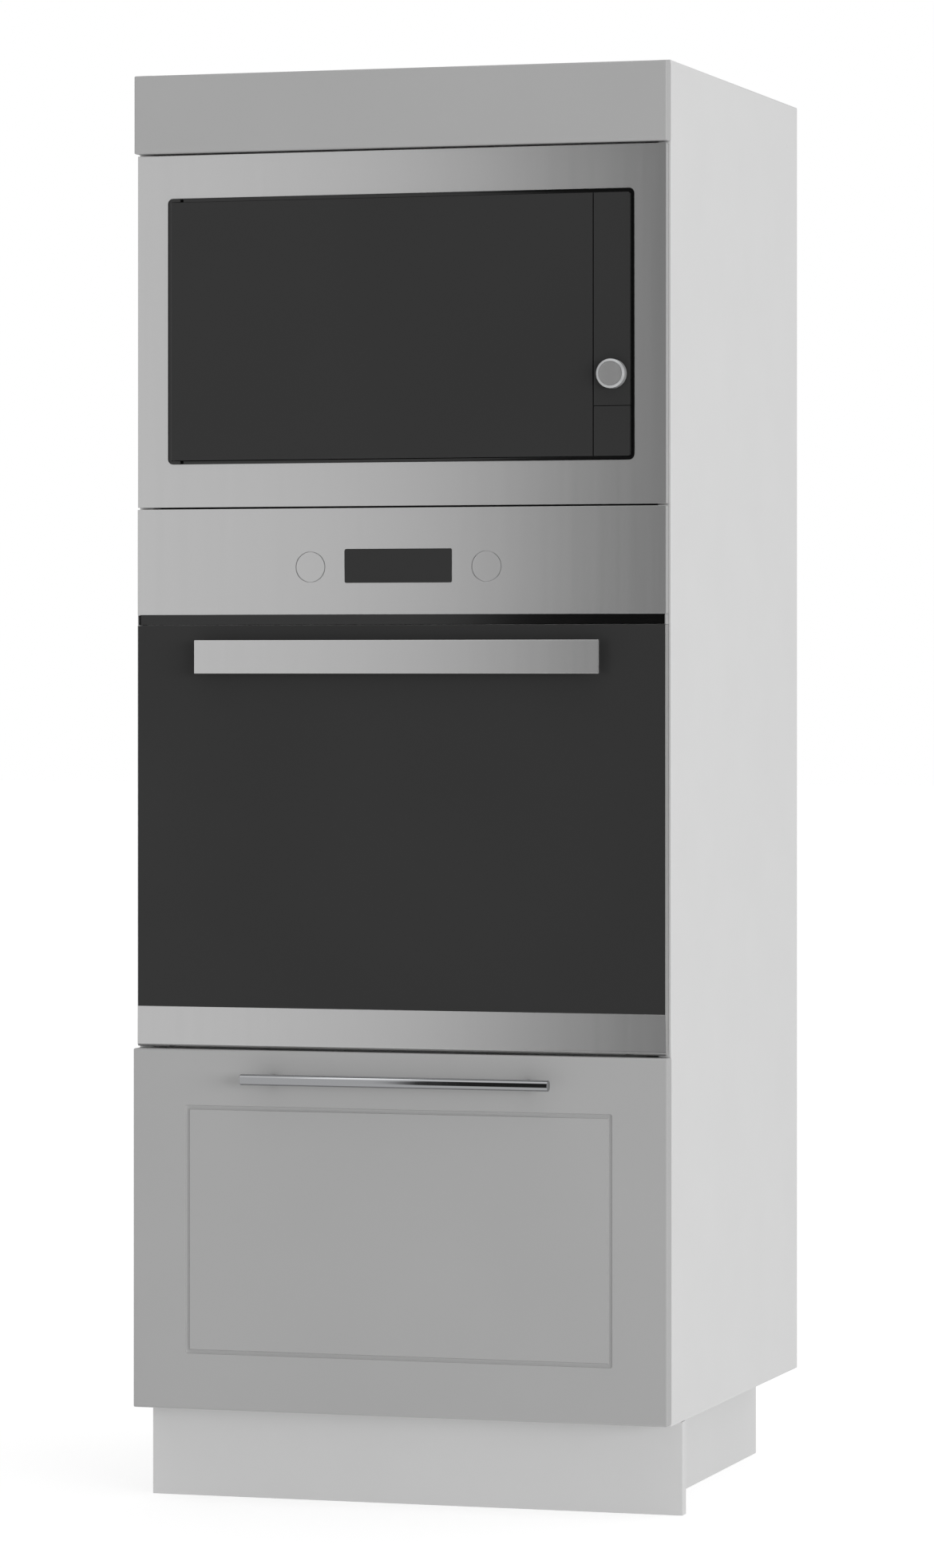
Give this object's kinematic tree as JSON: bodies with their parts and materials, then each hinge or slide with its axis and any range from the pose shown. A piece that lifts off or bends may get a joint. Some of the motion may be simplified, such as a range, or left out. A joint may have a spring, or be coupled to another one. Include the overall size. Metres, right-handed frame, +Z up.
{
  "type": "tall oven housing unit",
  "caption": "Tall kitchen cabinet on a plinth with a deep drawer, a built-in oven with a drop-down door and a built-in microwave with a side-hung door.",
  "frame": {"origin": "on the floor, in the middle of the overall width and depth", "axes": "+X to the right as seen from the front, +Y to the back, +Z up"},
  "size_m": [0.6, 0.61, 1.55],
  "materials": {
    "white_board": "white melamine-faced chipboard, satin",
    "hardboard": "white-faced hardboard",
    "grey_lacquer": "satin grey lacquer on fibreboard",
    "brushed_steel": "stainless steel, fine vertical grain",
    "door_steel": "stainless steel sheet",
    "black_glass": "black enamelled glass, opaque and glossy",
    "inner_glass": "tinted heat-reflecting pane",
    "lamp_glass": "frosted lamp cover",
    "turntable_glass": "clear pressed glass",
    "chrome": "polished chrome",
    "zinc_plate": "zinc-plated steel",
    "drawer_metal": "white powder-coated steel",
    "oven_enamel": "dark vitreous enamel on steel",
    "heating_rod": "heat-tinted steel sheath",
    "microwave_paint": "pale painted steel",
    "black_plastic": "black moulded plastic",
    "seal_rubber": "silicone rubber"
  },
  "bodies": {
    "cabinet": {"side_panel_left": "white_board", "side_panel_right": "white_board", "bottom_panel": "white_board", "top_panel": "white_board", "oven_shelf": "white_board", "microwave_shelf": "white_board", "niche_top_shelf": "white_board", "fascia_rail": "white_board", "back_panels": "hardboard", "wall_fixing_rail": "white_board", "fascia_panel": "grey_lacquer", "cam_fittings": "zinc_plate", "leg_sockets": "black_plastic", "leg_feet": "black_plastic", "plinth_front": "white_board", "plinth_returns": "white_board", "plinth_clips": "black_plastic", "cabinet_runners": "zinc_plate", "oven_casing": "zinc_plate", "oven_cavity": "oven_enamel", "oven_front_frame": "door_steel", "oven_control_panel": "brushed_steel", "oven_display": "black_glass", "oven_vent_strip": "black_glass", "oven_hinge_arms": "zinc_plate", "oven_door_seal": "seal_rubber", "oven_side_racks": "chrome", "oven_wire_shelf": "chrome", "grill_element": "heating_rod", "oven_fan_cover": "oven_enamel", "oven_lamp": "lamp_glass", "oven_fixing_screws": "zinc_plate", "microwave_trim_frame": "brushed_steel", "microwave_casing": "zinc_plate", "microwave_cavity": "microwave_paint", "microwave_surround": "black_glass", "microwave_control_panel": "black_glass"},
    "drawer": {"drawer_front": "grey_lacquer", "drawer_bottom": "white_board", "drawer_back": "white_board", "drawer_sides": "drawer_metal", "bar_handle": "chrome", "handle_posts": "chrome", "handle_screws": "zinc_plate", "drawer_runners": "zinc_plate"},
    "runner_middle": {"middle_runners": "zinc_plate"},
    "oven_door": {"oven_door_frame": "door_steel", "oven_door_glass": "black_glass", "oven_door_inner_glass": "inner_glass", "oven_door_trim": "brushed_steel", "oven_door_handle": "brushed_steel"},
    "left_spindle": {"oven_spindle_left": "zinc_plate"},
    "left_knob": {"oven_knob_left": "brushed_steel"},
    "right_spindle": {"oven_spindle_right": "zinc_plate"},
    "right_knob": {"oven_knob_right": "brushed_steel"},
    "microwave_door": {"microwave_door": "black_plastic", "microwave_door_glass": "black_glass"},
    "microwave_knob": {"microwave_knob": "chrome"},
    "release_button": {"microwave_release_button": "black_glass"},
    "turntable": {"microwave_turntable": "turntable_glass"}
  },
  "joints": [
    {"name": "drawer_slide", "type": "slide", "parent": "cabinet", "child": "drawer", "axis": [0, -1, 0], "range_m": [0, 0.47]},
    {"name": "runner_slide", "type": "slide", "parent": "cabinet", "child": "runner_middle", "axis": [0, -1, 0], "range_m": [0, 0.235]},
    {"name": "oven_door_hinge", "type": "hinge", "parent": "cabinet", "child": "oven_door", "pos_m": [0, -0.263, 0.5005], "axis": [1, 0, 0], "range_deg": [0, 90], "stiffness_Nm_per_rad": 8, "springref_deg": -5.73},
    {"name": "left_knob_turn", "type": "hinge", "parent": "cabinet", "child": "left_spindle", "pos_m": [-0.099, -0.235, 1.0137], "axis": [0, 1, 0], "continuous": true},
    {"name": "left_knob_pop", "type": "slide", "parent": "left_spindle", "child": "left_knob", "axis": [0, -1, 0], "range_m": [0, 0.018]},
    {"name": "right_knob_turn", "type": "hinge", "parent": "cabinet", "child": "right_spindle", "pos_m": [0.099, -0.235, 1.0137], "axis": [0, 1, 0], "range_deg": [0, 270]},
    {"name": "right_knob_pop", "type": "slide", "parent": "right_spindle", "child": "right_knob", "axis": [0, -1, 0], "range_m": [0, 0.018]},
    {"name": "microwave_door_hinge", "type": "hinge", "parent": "cabinet", "child": "microwave_door", "pos_m": [-0.2541, -0.2684, 1.26975], "axis": [0, 0, -1], "range_deg": [0, 95]},
    {"name": "microwave_knob_turn", "type": "hinge", "parent": "cabinet", "child": "microwave_knob", "pos_m": [0.2396, -0.26, 1.2169], "axis": [0, 1, 0], "range_deg": [0, 300]},
    {"name": "release_button_push", "type": "slide", "parent": "cabinet", "child": "release_button", "axis": [0, 1, 0], "range_m": [0, 0.003], "stiffness_N_per_m": 600, "springref_m": -0.001},
    {"name": "turntable_spin", "type": "hinge", "parent": "cabinet", "child": "turntable", "pos_m": [-0.01025, -0.0865, 1.1729], "axis": [0, 0, 1], "continuous": true}
  ],
  "couplings": [
    {"joint": "runner_slide", "follows": "drawer_slide", "ratio": 0.5}
  ]
}
